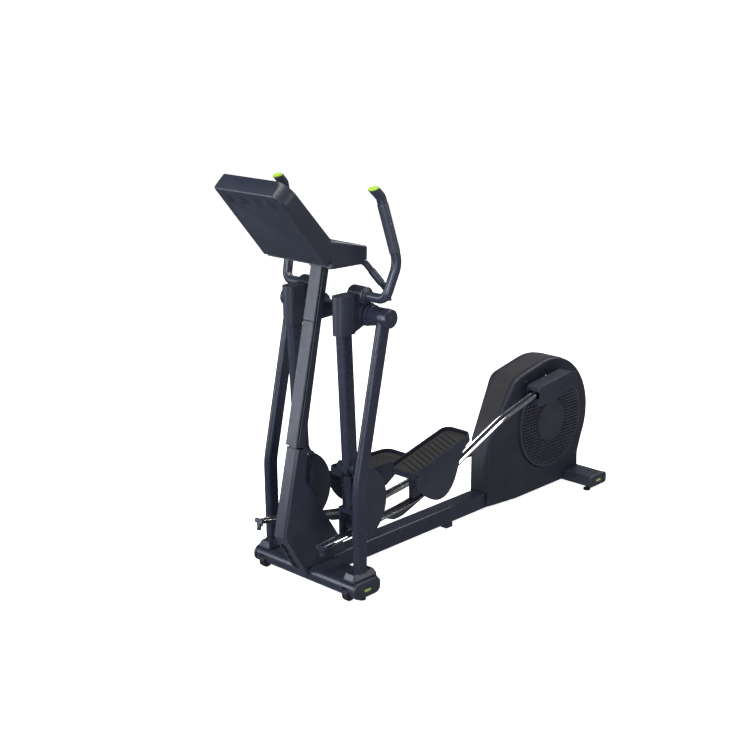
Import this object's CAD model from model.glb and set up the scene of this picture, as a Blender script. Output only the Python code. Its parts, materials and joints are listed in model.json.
import json
from math import atan2, cos, pi, radians, sin
import bmesh
import bpy
from mathutils import Matrix, Vector


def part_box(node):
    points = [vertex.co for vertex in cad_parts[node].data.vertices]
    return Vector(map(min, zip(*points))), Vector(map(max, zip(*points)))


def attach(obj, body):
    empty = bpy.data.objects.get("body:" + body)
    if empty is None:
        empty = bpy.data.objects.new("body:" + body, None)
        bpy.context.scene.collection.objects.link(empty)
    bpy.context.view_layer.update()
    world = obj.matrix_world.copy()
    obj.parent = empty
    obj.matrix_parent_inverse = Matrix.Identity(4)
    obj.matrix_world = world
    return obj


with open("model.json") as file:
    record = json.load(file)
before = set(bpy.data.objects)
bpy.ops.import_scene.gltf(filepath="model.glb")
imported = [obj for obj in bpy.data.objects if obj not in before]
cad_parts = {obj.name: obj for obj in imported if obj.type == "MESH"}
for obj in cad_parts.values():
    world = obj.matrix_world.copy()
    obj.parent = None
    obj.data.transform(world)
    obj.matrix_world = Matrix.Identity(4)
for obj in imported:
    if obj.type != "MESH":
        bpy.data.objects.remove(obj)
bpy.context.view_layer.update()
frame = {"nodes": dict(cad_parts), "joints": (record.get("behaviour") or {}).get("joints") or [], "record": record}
nodes = frame["nodes"]
joints = {joint["name"]: joint for joint in frame["joints"]}
MM = 0.001
SIDES = (("left", -1), ("right", 1))


# ---------------------------------------------------------------- materials
def surface(
    name, color, rough, metal=0.0, tint=0.12, tint_size=9.0, grain=0.0, grain_size=900.0,
    ripple=0.0, ripple_size=160.0, wear=0.0, smudge=0.03, coat=0.0, specular=0.5, lines=None,
):
    """Procedural finish: colour mottling, roughness smudges, two scales of bump and worn edges."""
    made = bpy.data.materials.new(name)
    made.use_nodes = True
    tree = made.node_tree
    add, link = tree.nodes.new, tree.links.new
    shader = tree.nodes["Principled BSDF"]
    shader.inputs["Metallic"].default_value = metal
    shader.inputs["Coat Weight"].default_value = coat
    shader.inputs["Coat Roughness"].default_value = 0.12
    shader.inputs["Specular IOR Level"].default_value = specular
    place = add("ShaderNodeTexCoord").outputs["Object"]

    def noise(scale, detail=3.0):
        node = add("ShaderNodeTexNoise")
        node.inputs["Scale"].default_value = scale
        node.inputs["Detail"].default_value = detail
        link(place, node.inputs["Vector"])
        return node.outputs["Fac"]

    def spread(source, low, high):
        node = add("ShaderNodeMapRange")
        node.inputs["From Min"].default_value = 0.3
        node.inputs["From Max"].default_value = 0.7
        node.inputs["To Min"].default_value = low
        node.inputs["To Max"].default_value = high
        link(source, node.inputs["Value"])
        return node.outputs["Result"]

    ramp = add("ShaderNodeMix")
    ramp.data_type = "RGBA"
    ramp.inputs[6].default_value = (*[c * (1 - tint) for c in color], 1)
    ramp.inputs[7].default_value = (*[min(1, c * (1 + tint)) for c in color], 1)
    link(spread(noise(tint_size), 0, 1), ramp.inputs[0])
    colour = ramp.outputs[2]
    if wear:
        edge = add("ShaderNodeMapRange")
        edge.inputs["From Min"].default_value = 0.53
        edge.inputs["From Max"].default_value = 0.62
        edge.inputs["To Max"].default_value = wear
        link(add("ShaderNodeNewGeometry").outputs["Pointiness"], edge.inputs["Value"])
        worn = add("ShaderNodeMix")
        worn.data_type = "RGBA"
        worn.inputs[7].default_value = (*[min(1, c * 1.7 + 0.008) for c in color], 1)
        link(edge.outputs["Result"], worn.inputs[0])
        link(colour, worn.inputs[6])
        colour = worn.outputs[2]
    link(colour, shader.inputs["Base Color"])
    link(spread(noise(34.0), rough - smudge, rough + smudge), shader.inputs["Roughness"])

    normal = None
    layers = [(grain, grain_size, 2.0), (ripple, ripple_size, 1.0)]
    for depth, scale, detail in layers:
        if depth:
            bump = add("ShaderNodeBump")
            bump.inputs["Strength"].default_value = 1.0
            bump.inputs["Distance"].default_value = depth
            link(noise(scale, detail), bump.inputs["Height"])
            if normal is not None:
                link(normal, bump.inputs["Normal"])
            normal = bump.outputs["Normal"]
    if lines:
        depth, scale, direction = lines
        wave = add("ShaderNodeTexWave")
        wave.bands_direction = direction
        wave.inputs["Scale"].default_value = scale
        wave.inputs["Distortion"].default_value = 0.4
        link(place, wave.inputs["Vector"])
        bump = add("ShaderNodeBump")
        bump.inputs["Distance"].default_value = depth
        link(wave.outputs["Fac"], bump.inputs["Height"])
        if normal is not None:
            link(normal, bump.inputs["Normal"])
        normal = bump.outputs["Normal"]
    if normal is not None:
        link(normal, shader.inputs["Normal"])
    return made


NAVY = (0.0135, 0.0155, 0.0265)
SHEEN = 0.42
finish = {
    "frame_paint": surface(
        "frame_paint", NAVY, 0.29, grain=0.000006, ripple=0.000008, wear=0.3, specular=SHEEN),
    "arm_paint": surface(
        "arm_paint", NAVY, 0.28, grain=0.000006, ripple=0.000008, wear=0.3, specular=SHEEN),
    "cover_plastic": surface(
        "cover_plastic", (0.0135, 0.0155, 0.0255), 0.32, grain=0.00001, wear=0.3, specular=SHEEN),
    "housing_plastic": surface(
        "housing_plastic", (0.0125, 0.014, 0.0225), 0.42, grain=0.00003, grain_size=700, wear=0.3,
        specular=0.3),
    "roof_plastic": surface(
        "roof_plastic", (0.0215, 0.0205, 0.023), 0.45, grain=0.00003, wear=0.2, specular=0.26),
    "console_plastic": surface(
        "console_plastic", (0.0118, 0.014, 0.0225), 0.34, grain=0.00001, wear=0.3, specular=SHEEN),
    "cap_plastic": surface(
        "cap_plastic", (0.0135, 0.015, 0.0235), 0.38, grain=0.00002, wear=0.3, specular=SHEEN),
    "disc_plastic": surface(
        "disc_plastic", (0.0185, 0.0195, 0.028), 0.48, grain=0.00003, wear=0.25, specular=0.28),
    "lime_plastic": surface("lime_plastic", (0.26, 0.42, 0.045), 0.35, tint=0.05, coat=0.15),
    "handle_rubber": surface(
        "handle_rubber", (0.015, 0.0175, 0.029), 0.28, grain=0.00001, ripple=0.00001, wear=0.2,
        specular=0.5),
    "grip_rubber": surface(
        "grip_rubber", (0.0225, 0.0255, 0.038), 0.35, grain=0.00003, grain_size=620, specular=0.48),
    "tread_rubber": surface(
        "tread_rubber", (0.0145, 0.014, 0.015), 0.55, grain=0.0002, lines=(0.0005, 34.0, "Y"),
        specular=0.3),
    "wheel_rubber": surface("wheel_rubber", (0.01, 0.01, 0.012), 0.55, grain=0.0002, specular=0.3),
    "foot_rubber": surface("foot_rubber", (0.01, 0.01, 0.012), 0.55, grain=0.0002, specular=0.3),
    "chrome": surface("chrome", (0.78, 0.775, 0.77), 0.1, metal=1.0, tint=0.04, smudge=0.03),
    "steel": surface("steel", (0.05, 0.053, 0.062), 0.32, metal=0.85, ripple=0.00002, ripple_size=2200),
    "pulse_steel": surface(
        "pulse_steel", (0.05, 0.055, 0.07), 0.3, metal=0.6, ripple=0.00002, ripple_size=1500),
    "bezel": surface("bezel", (0.008, 0.008, 0.01), 0.22, tint=0.05, coat=0.3, specular=0.4),
    "screen": surface("screen", (0.004, 0.005, 0.008), 0.1, tint=0.3, smudge=0.03, coat=0.6),
    "stop_red": surface("stop_red", (0.5, 0.014, 0.011), 0.3, tint=0.08, coat=0.4),
    "inlet_plastic": surface(
        "inlet_plastic", (0.008, 0.008, 0.01), 0.42, grain=0.0001, wear=0.2, specular=0.3),
    "switch_plastic": surface("switch_plastic", (0.006, 0.006, 0.007), 0.25, tint=0.05, coat=0.2),
    "flywheel_iron": surface("flywheel_iron", (0.14, 0.14, 0.145), 0.42, metal=0.9, grain=0.00008),
    "pulley_alloy": surface("pulley_alloy", (0.5, 0.51, 0.53), 0.32, metal=1.0, ripple=0.00003),
    "belt_rubber": surface("belt_rubber", (0.01, 0.01, 0.01), 0.6, lines=(0.0008, 90.0, "Y")),
}
icon_white = surface("icon_white", (0.42, 0.43, 0.45), 0.5, tint=0.04)
inlay_lime = surface("inlay_lime", (0.15, 0.21, 0.04), 0.4, tint=0.05)
for entry in frame["record"]["subparts"]:
    shown = nodes[entry["node"]]
    shown.data.materials.clear()
    shown.data.materials.append(finish[entry["material_slot"]])
nodes["cap_inlays"].data.materials.clear()
nodes["cap_inlays"].data.materials.append(inlay_lime)


shading = bpy.data.node_groups.new("shade_smooth", "GeometryNodeTree")
shading.interface.new_socket("Geometry", in_out="INPUT", socket_type="NodeSocketGeometry")
shading.interface.new_socket("Geometry", in_out="OUTPUT", socket_type="NodeSocketGeometry")
chain = [shading.nodes.new(kind) for kind in (
    "NodeGroupInput", "GeometryNodeSetShadeSmooth", "GeometryNodeSetShadeSmooth", "NodeGroupOutput")]
chain[1].domain = "FACE"
chain[2].domain = "EDGE"
for before, after in zip(chain, chain[1:]):
    shading.links.new(before.outputs[0], after.inputs[0])


def soften(node, width, segments=2, angle=32):
    """Rounds the hard edges of a CAD node that are sharper than angle."""
    shown = nodes[node]
    weld = shown.modifiers.new("weld", "WELD")
    weld.merge_threshold = 0.00002
    merge = shown.modifiers.new("merge", "DECIMATE")
    merge.decimate_type = "DISSOLVE"
    merge.angle_limit = radians(0.6)
    bevel = shown.modifiers.new("bevel", "BEVEL")
    bevel.width = width * MM
    bevel.segments = segments
    bevel.limit_method = "ANGLE"
    bevel.angle_limit = radians(angle)
    bevel.use_clamp_overlap = True
    bevel.harden_normals = False
    shown.modifiers.new("shade", "NODES").node_group = shading
    smooth = shown.modifiers.new("normals", "WEIGHTED_NORMAL")
    smooth.weight = 60
    smooth.keep_sharp = False


for name, width in (
    ("console_shell", 3), ("console_tray", 3), ("console_bezel", 2), ("mast_mid_cover", 2.5),
    ("mast_upper_cover", 2.5), ("mast_lower_shroud", 3), ("spine_tube", 1), ("front_stabiliser", 1),
    ("rear_stabiliser", 1), ("housing_top_cover", 1.5), ("power_inlet", 0.8),
    ("housing_shell_left", 1.5), ("housing_shell_right", 1.5), ("drive_frame", 0.8), ("mast_tube", 1),
):
    soften(name, width)


def even_out(node):
    """Smooth shading over the small facets of a swept tube."""
    shown = nodes[node]
    weld = shown.modifiers.new("weld", "WELD")
    weld.merge_threshold = 0.00001
    shown.modifiers.new("shade", "NODES").node_group = shading
    smooth = shown.modifiers.new("normals", "WEIGHTED_NORMAL")
    smooth.weight = 50
    smooth.keep_sharp = False


for side, sign in SIDES:
    even_out("rail_tubes_" + side)
    for name, width in (("rail_cover", 2.5), ("pedal", 2), ("pedal_tread", 1.2)):
        soften(name + "_" + side, width)


# ---------------------------------------------------------------- mesh code
CAD_SHIFT = 6.4


def at(x, y, z):
    """Point of the CAD frame from millimetres before its centring shift."""
    return Vector(((x + CAD_SHIFT) * MM, y * MM, z * MM))


def axes(origin, normal, x_dir):
    """Matrix with local z along normal and local x near x_dir."""
    z = Vector(normal).normalized()
    x = Vector(x_dir)
    x = (x - z * x.dot(z)).normalized()
    y = z.cross(x)
    return Matrix.Translation(origin) @ Matrix((x, y, z)).transposed().to_4x4()


def side_of(normal):
    return (1, 0, 0) if abs(Vector(normal).normalized().x) < 0.9 else (0, 1, 0)


def lathe(shape, profile, origin, normal, steps=40, ripple=None):
    """Turned part: profile holds (radius, height) pairs in millimetres."""
    place = axes(origin, normal, side_of(normal))
    rings = []
    for radius, height in profile:
        if radius == 0:
            rings.append([shape.verts.new(place @ Vector((0, 0, height * MM)))])
            continue
        ring = []
        for i in range(steps):
            turn = 2 * pi * i / steps
            grown = radius * (1 + (ripple(turn, height) if ripple else 0))
            spot = Vector((grown * cos(turn) * MM, grown * sin(turn) * MM, height * MM))
            ring.append(shape.verts.new(place @ spot))
        rings.append(ring)
    for low, high in zip(rings, rings[1:]):
        for i in range(steps):
            j = (i + 1) % steps
            if len(low) == 1:
                shape.faces.new((low[0], high[i], high[j]))
            elif len(high) == 1:
                shape.faces.new((low[i], low[j], high[0]))
            else:
                shape.faces.new((low[i], low[j], high[j], high[i]))


def slab(shape, outline, place, low, high, draft=0.0):
    """Prism on a flat outline of (x, y) millimetres, its top brought in by draft."""
    middle = sum((Vector(spot) for spot in outline), Vector((0, 0))) / len(outline)
    layers = []
    for height, inset in ((low, 0.0), (high - draft, 0.0), (high, draft)):
        layer = []
        for x, y in outline:
            away = Vector((x, y)) - middle
            kept = max(0.0, 1 - inset / max(away.length, 0.001))
            spot = middle + away * kept
            layer.append(shape.verts.new(place @ Vector((spot.x * MM, spot.y * MM, height * MM))))
        layers.append(layer)
    count = len(outline)
    for below, above in zip(layers, layers[1:]):
        for i in range(count):
            j = (i + 1) % count
            shape.faces.new((below[i], below[j], above[j], above[i]))
    shape.faces.new(layers[-1])
    shape.faces.new(list(reversed(layers[0])))


def rounded(width, height, radius, x=0.0, y=0.0, steps=6):
    """Outline of a rounded rectangle centred on x, y."""
    points = []
    for cx, cy, start in (
        (width / 2 - radius, height / 2 - radius, 0), (radius - width / 2, height / 2 - radius, 90),
        (radius - width / 2, radius - height / 2, 180), (width / 2 - radius, radius - height / 2, 270),
    ):
        for i in range(steps + 1):
            turn = radians(start + 90 * i / steps)
            points.append((x + cx + radius * cos(turn), y + cy + radius * sin(turn)))
    return points


def bead(shape, path, radius, ripple=0.25, pitch=3.0, sides=8):
    """Thin round strand along a list of points in metres, with a weld's ripples."""
    total = sum((b - a).length for a, b in zip(path, path[1:]))
    count = max(4, int(total / (pitch * MM) * 4))
    spots = []
    for i in range(count + 1):
        gone = total * i / count
        for a, b in zip(path, path[1:]):
            span = (b - a).length
            if gone <= span + 1e-9:
                spots.append((a.lerp(b, gone / span), (b - a).normalized()))
                break
            gone -= span
        else:
            spots.append((path[-1], (path[-1] - path[-2]).normalized()))
    rings = []
    for i, (spot, way) in enumerate(spots):
        place = axes(spot, way, (0, 0, 1) if abs(way.z) < 0.9 else (1, 0, 0))
        grown = radius * (1 + ripple * sin(i * pi / 2)) * MM
        turns = [2 * pi * k / sides for k in range(sides)]
        rings.append([
            shape.verts.new(place @ Vector((grown * cos(turn), grown * sin(turn), 0))) for turn in turns])
    for low, high in zip(rings, rings[1:]):
        for k in range(sides):
            j = (k + 1) % sides
            shape.faces.new((low[k], low[j], high[j], high[k]))
    shape.faces.new(list(reversed(rings[0])))
    shape.faces.new(rings[-1])


def piece(name, shape, slot, body, paint=None):
    """Finishes a mesh built in shape and hangs it on a CAD body."""
    bmesh.ops.recalc_face_normals(shape, faces=shape.faces)
    mesh = bpy.data.meshes.new(name)
    shape.to_mesh(mesh)
    shape.free()
    mesh.shade_smooth()
    mesh.set_sharp_from_angle(angle=radians(35))
    made = bpy.data.objects.new(name, mesh)
    bpy.context.scene.collection.objects.link(made)
    mesh.materials.append(paint or finish[slot])
    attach(made, body)
    return made


def button_screw(shape, origin, normal, radius=5.5, high=2.6):
    """Button head with a hexagon socket."""
    dome = [(radius * sin(radians(a)), high * cos(radians(a))) for a in (90, 72, 54, 40)]
    lathe(shape, [(radius, -1.0), *dome], origin, normal, 36)
    place = axes(origin, normal, side_of(normal))
    rim, top = dome[-1]
    sockets = []
    for height, reach in ((top, rim), (top, rim * 0.72), (top * 0.35, rim * 0.68)):
        ring = []
        for i in range(36):
            turn = 2 * pi * i / 36
            flat = cos(pi / 6) / cos((turn % (pi / 3)) - pi / 6)
            grown = reach * (1 if reach == rim else flat)
            ring.append(shape.verts.new(
                place @ Vector((grown * cos(turn) * MM, grown * sin(turn) * MM, height * MM))))
        sockets.append(ring)
    for low, upper in zip(sockets, sockets[1:]):
        for i in range(36):
            j = (i + 1) % 36
            shape.faces.new((low[i], low[j], upper[j], upper[i]))
    shape.faces.new(sockets[-1])


# ---------------------------------------------------------------- crank discs
crank = Vector(joints["crank"]["pos_m"])
RIB_PITCH, RIB_WIDE = 16.0, 8.5
RING_IN, RING_OUT = 115.0, 223.0
for side, sign in SIDES:
    ribs = bmesh.new()
    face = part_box("crank_disc_" + side)
    # The ring's floor lies 8 mm below the hub plateau.
    ring_floor = (face[0].y if sign < 0 else face[1].y) - sign * 0.008
    place = axes(Vector((crank.x, ring_floor, crank.z)), (0, sign, 0), (1, 0, 0))
    flip = 1 if place.to_3x3().col[1].z > 0 else -1
    for k in range(-13, 14):
        z = k * RIB_PITCH
        if abs(z) > RING_OUT - 8:
            continue
        outer = (RING_OUT**2 - (abs(z) + RIB_WIDE / 2) ** 2) ** 0.5
        inner = max(0.0, RING_IN**2 - max(0.0, abs(z) - RIB_WIDE / 2) ** 2) ** 0.5
        spans = [(-outer, -inner), (inner, outer)] if inner > 0 else [(-outer, outer)]
        for low, high in spans:
            cuts = [(low, high)]
            if low < 0 and sign < 0 or low >= 0 and sign > 0:
                count = max(1, int((high - low) / 20))
                step = (high - low) / count
                cuts = [(low + i * step + 2.5, low + (i + 1) * step - 2.5) for i in range(count)]
            for a, b in cuts:
                if b - a > 4:
                    outline = rounded(b - a, RIB_WIDE, 2.0, (a + b) / 2, flip * z, 2)
                    slab(ribs, outline, place, -0.5, 6.2, 0.8)
    piece("crank_ribs_" + side, ribs, "disc_plastic", "crank")
    rim = bmesh.new()
    lathe(rim, [(109, -0.5), (109, 5.6), (110, 6.4), (112, 6.4), (113, 5.6), (113, -0.5)],
          Vector((crank.x, ring_floor, crank.z)), (0, sign, 0), 120)
    lathe(rim, [(84, 7.6), (84, 8.3), (85, 8.8), (87, 8.8), (88, 8.3), (88, 7.6)],
          Vector((crank.x, ring_floor, crank.z)), (0, sign, 0), 120)
    piece("crank_rings_" + side, rim, "disc_plastic", "crank")

# ---------------------------------------------------------------- joints, handles and rails
pivot = Vector(joints["swing_left"]["pos_m"])
for side, sign in SIDES:
    y_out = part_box("side_post_" + side)[0 if sign < 0 else 1].y
    barrel = bmesh.new()
    lathe(barrel, [(35.5, -0.5), (35.5, 0.9), (34.5, 1.5), (31.5, 1.5), (30.5, 0.8), (30.5, -0.5)],
          Vector((pivot.x, y_out, pivot.z)), (0, sign, 0), 64)
    lathe(barrel, [(12, -0.5), (12, 0.8), (11, 1.4), (0, 1.6)],
          Vector((pivot.x, y_out, pivot.z)), (0, sign, 0), 40)
    piece("barrel_end_" + side, barrel, "frame_paint", "frame")

    collar = bmesh.new()
    lathe(collar, [(40, 0), (42.4, 1), (43, 4), (42.4, 7), (40, 8)],
          Vector((pivot.x, sign * 0.216, pivot.z)), (0, sign, 0), 56)
    lathe(collar, [(40, 0), (41.4, 0.8), (41.4, 3.2), (40, 4)],
          Vector((pivot.x, sign * 0.2875, pivot.z)), (0, sign, 0), 56)
    piece("barrel_rings_" + side, collar, "frame_paint", "frame")

    # Washer and hexagon head on the inner and outer end of the rail's pivot pin.
    hinge = Vector(joints["rail_" + side]["pos_m"])
    bolt = bmesh.new()
    hexagon = [(9 * cos(radians(a)), 9 * sin(radians(a))) for a in range(0, 360, 60)]
    for way, reach, head_top in ((-sign, 0.063, 6.5), (sign, 0.049, 6.0)):
        spot = hinge + Vector((0, way * reach, 0))
        lathe(bolt, [(13, -0.5), (13, 1.6), (12, 2.2), (9, 2.4)], spot, (0, way, 0), 36)
        slab(bolt, hexagon, axes(spot, (0, way, 0), (1, 0, 0)), 2.0, head_top, 0.9)
    piece("pivot_bolt_" + side, bolt, "steel", "rail_" + side)

    # Grip end rings: the grip runs along the straight upper handle.
    foot, head = at(-585, sign * 320, 1425), at(-643, sign * 286, 1697)
    lean = (head - foot).normalized()
    low_end, top_end = foot.lerp(head, 0.17), foot.lerp(head, 0.89)
    rings = bmesh.new()
    for end, way in ((low_end, lean), (top_end, -lean)):
        lathe(rings, [(21.15, -2.4), (22.4, -2), (23.3, -0.8), (23.5, 2), (23.5, 4), (22.9, 4.4)],
              end, way, 48)
    for k in range(1, 5):
        lathe(rings, [(22.9, -0.9), (23.5, -0.4), (23.5, 0.4), (22.9, 0.9)],
              low_end.lerp(top_end, k / 5), lean, 48)
    piece("grip_rings_" + side, rings, "grip_rubber", "swing_" + side)

    # Socket collar where the handle enters the swing head.
    sleeve = bmesh.new()
    socket = at(-634, sign * 196, 1276)
    lathe(sleeve, [(21.2, -2), (28, -1), (28.5, 0.5), (27.5, 2.5), (25, 4.5), (22.6, 5.5), (21.2, 5.5)],
          socket, (0, sign, 0), 56)
    piece("handle_collar_" + side, sleeve, "cover_plastic", "swing_" + side)

    # Screws on the outer face of the raised rail's end cover.
    if side == "left":
        screws = bmesh.new()
        face_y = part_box("rail_cover_left")[0].y
        for x, z in ((566, 570), (800, 600)):
            button_screw(screws, at(x, 0, z) + Vector((0, face_y, 0)), (0, sign, 0), 5, 2.2)
        piece("cover_screws_left", screws, "steel", "rail_left")

# ---------------------------------------------------------------- console details
CUP_Y = 132
TRAY_FALL, TRAY_RUN = 50, 197
tray_lean = atan2(TRAY_FALL, TRAY_RUN)
tray_up = Vector((sin(tray_lean), 0, cos(tray_lean)))
tray_spot = at(-733.5, 0, 1511)
rims = bmesh.new()
for y in (-CUP_Y, CUP_Y):
    centre = tray_spot + Vector((0, y * MM, 0))
    lathe(rims, [(36.1, -3), (36.1, 0.6), (37, 1.5), (39.5, 1.5), (40.6, 0.4), (40.6, -0.6)],
          centre, tray_up, 56)
    for top in (-14, -26, -38):
        lathe(rims, [(35.9, top), (35.3, top - 1), (35.3, top - 3), (35.9, top - 4)], centre, tray_up, 56)
piece("cup_rims", rims, "console_plastic", "frame")

mat = bmesh.new()
floor_place = axes(tray_spot + tray_up * -0.0215, tray_up, (0, 1, 0))
flip = 1 if floor_place.to_3x3().col[1].x > 0 else -1
for row in range(9):
    slab(mat, rounded(150, 5, 2, 0, flip * (-18 + (row - 4) * 11), 3), floor_place, -0.4, 1.4, 0.6)
piece("pocket_mat", mat, "grip_rubber", "frame")

# A row of keys under the screen, marked in turn with a triangle, a bar and a dot.
KEY_PITCH, KEY_ROW = 40, 134.5
FACE_RISE, FACE_RUN = 244, 217
face_lean = atan2(FACE_RISE, FACE_RUN)
face_up = Vector((sin(face_lean), 0, cos(face_lean)))
face_place = axes(at(-941.5, 0, 1662) + face_up * 0.001, face_up, (0, 1, 0))
flip = 1 if face_place.to_3x3().col[1].z < 0 else -1
row_y = flip * KEY_ROW
keys = bmesh.new()
marks = bmesh.new()
for k in range(7):
    x = (k - 3) * KEY_PITCH
    slab(keys, rounded(24, 9, 4, x, row_y, 5), face_place, -0.3, 1.6, 0.7)
    icon = (
        [(x - 2.2, row_y - 2), (x + 2.6, row_y), (x - 2.2, row_y + 2)],
        rounded(7, 1.2, 0.5, x, row_y, 3),
        rounded(3.6, 3.6, 1.7, x, row_y, 5),
    )[k % 3]
    slab(marks, icon, face_place, 1.4, 1.75, 0.1)
piece("console_keys", keys, "console_plastic", "frame")
piece("key_marks", marks, "console_plastic", "frame", icon_white)

# ---------------------------------------------------------------- base
for side, sign in SIDES:
    axle = Vector(joints["wheel_" + side]["pos_m"])
    hub = bmesh.new()
    for way in (-1, 1):
        lathe(hub, [(15, 14.2), (15, 15.1), (14, 15.7), (8, 15.9), (7.4, 16.6), (0, 16.8)],
              axle, (0, way, 0), 40)
    lathe(hub, [(28.6, -1.4), (29.0, -0.9), (29.0, 0.9), (28.6, 1.4)], axle, (0, 1, 0), 72)
    piece("wheel_hub_" + side, hub, "wheel_rubber", "wheel_" + side)

    # Rubber gasket where the post leaves its boot.
    gasket = bmesh.new()
    post_y = sign * 275
    outline = [at(-782 + dx, post_y + dy, 122) for dx, dy in rounded(68, 40, 18, 0, 0, 5)]
    bead(gasket, outline + outline[:1], 2.6, 0.0, 4.0)
    piece("post_gasket_" + side, gasket, "foot_rubber", "frame")

feet = bmesh.new()
for x, y, top in ((-788, 288, 20), (909, 213, 25)):
    for sign in (-1, 1):
        for k in range(3):
            lathe(feet, [(5.9, 0), (6.7, 0.6), (5.9, 1.2)], at(x, sign * y, 14.6 + k * 1.6), (0, 0, 1), 28)
        lathe(feet, [(17.4, 0.2), (17.9, 1), (17.9, 3), (17.0, 4)], at(x, sign * y, 2), (0, 0, 1), 60,
              lambda turn, height: 0.004 * sin(turn * 24))
piece("foot_threads", feet, "foot_rubber", "frame")

welds = bmesh.new()
for sign in (-1, 1):
    bead(welds, [at(-706, sign * 42.6, 28), at(-706, sign * 42.6, 88)], 2.4)
    bead(welds, [at(876, sign * 42.6, 30), at(876, sign * 42.6, 78)], 2.4)
piece("spine_welds", welds, "frame_paint", "frame")

screws = bmesh.new()
for side, sign in SIDES:
    face_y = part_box("fasteners")[0 if sign < 0 else 1].y
    for x, z in ((560, 130), (560, 620), (960, 130)):
        button_screw(screws, at(x, 0, z) + Vector((0, face_y, 0)), (0, sign, 0), 6.2, 2.8)
piece("housing_screws", screws, "steel", "frame")

# ---------------------------------------------------------------- stage, light and camera
FLOOR = 220
floor_mesh = bpy.data.meshes.new("floor")
floor_mesh.from_pydata(
    [(-FLOOR, -FLOOR, 0), (FLOOR, -FLOOR, 0), (FLOOR, FLOOR, 0), (-FLOOR, FLOOR, 0)], [], [(0, 1, 2, 3)])
floor = bpy.data.objects.new("floor", floor_mesh)
bpy.context.scene.collection.objects.link(floor)
paper = surface("floor_white", (0.88, 0.88, 0.88), 0.75, tint=0.01, specular=0.1)
paper_shader = paper.node_tree.nodes["Principled BSDF"]
paper_shader.inputs["Emission Color"].default_value = (1, 1, 1, 1)
paper_shader.inputs["Emission Strength"].default_value = 0.93
floor_mesh.materials.append(paper)
floor.visible_glossy = False

world = bpy.data.worlds.new("studio")
bpy.context.scene.world = world
world.use_nodes = True
backdrop = world.node_tree.nodes["Background"]
backdrop.inputs["Color"].default_value = (0.9, 0.94, 1.0, 1)
backdrop.inputs["Strength"].default_value = 0.13


def softbox(name, where, aim, size, power, color=(1, 1, 1)):
    light = bpy.data.lights.new(name, "AREA")
    light.shape = "RECTANGLE"
    light.size, light.size_y = size
    light.energy = power
    light.color = color
    holder = bpy.data.objects.new(name, light)
    bpy.context.scene.collection.objects.link(holder)
    holder.location = where
    holder.visible_camera = False
    holder.rotation_euler = (Vector(aim) - Vector(where)).to_track_quat("-Z", "Y").to_euler()


bpy.context.scene.view_settings.view_transform = "Standard"
softbox("key", (-4.7, -0.9, 3.2), (-0.6, 0, 0.9), (1.1, 3.4), 240, (0.86, 0.92, 1.0))
softbox("strip", (-4.2, 3.0, 1.8), (-0.6, 0, 0.9), (0.6, 3.0), 80, (0.85, 0.9, 1.0))
softbox("low", (-4.5, -4.1, 0.9), (-0.3, 0, 0.8), (0.6, 1.5), 48, (0.84, 0.91, 1.0))
softbox("side", (2.4, -4.8, 3.0), (0.3, 0, 0.6), (1.4, 2.4), 70)
softbox("top", (-0.2, -0.6, 4.8), (0.1, 0, 0.3), (4.2, 2.6), 250, (1.0, 0.96, 0.92))
softbox("rear", (4.2, 0.8, 4.2), (0, 0, 0.8), (1.8, 2.2), 110)

CAMERA_AT = Vector((-4.7736, -4.302, 2.651))
YAW, PITCH, ROLL = radians(44.47), radians(16.36), radians(-0.71)
ahead = Vector((cos(PITCH) * cos(YAW), cos(PITCH) * sin(YAW), -sin(PITCH)))
level = ahead.cross(Vector((0, 0, 1))).normalized()
upright = level.cross(ahead).normalized()
right = cos(ROLL) * level + sin(ROLL) * upright
up = -sin(ROLL) * level + cos(ROLL) * upright
lens = bpy.data.cameras.new("camera")
lens.lens = 69.9
lens.sensor_width = 36
lens.clip_end = 600
camera = bpy.data.objects.new("camera", lens)
bpy.context.scene.collection.objects.link(camera)
turn = Matrix((right, up, -ahead)).transposed().to_4x4()
camera.matrix_world = Matrix.Translation(CAMERA_AT) @ turn
bpy.context.scene.camera = camera
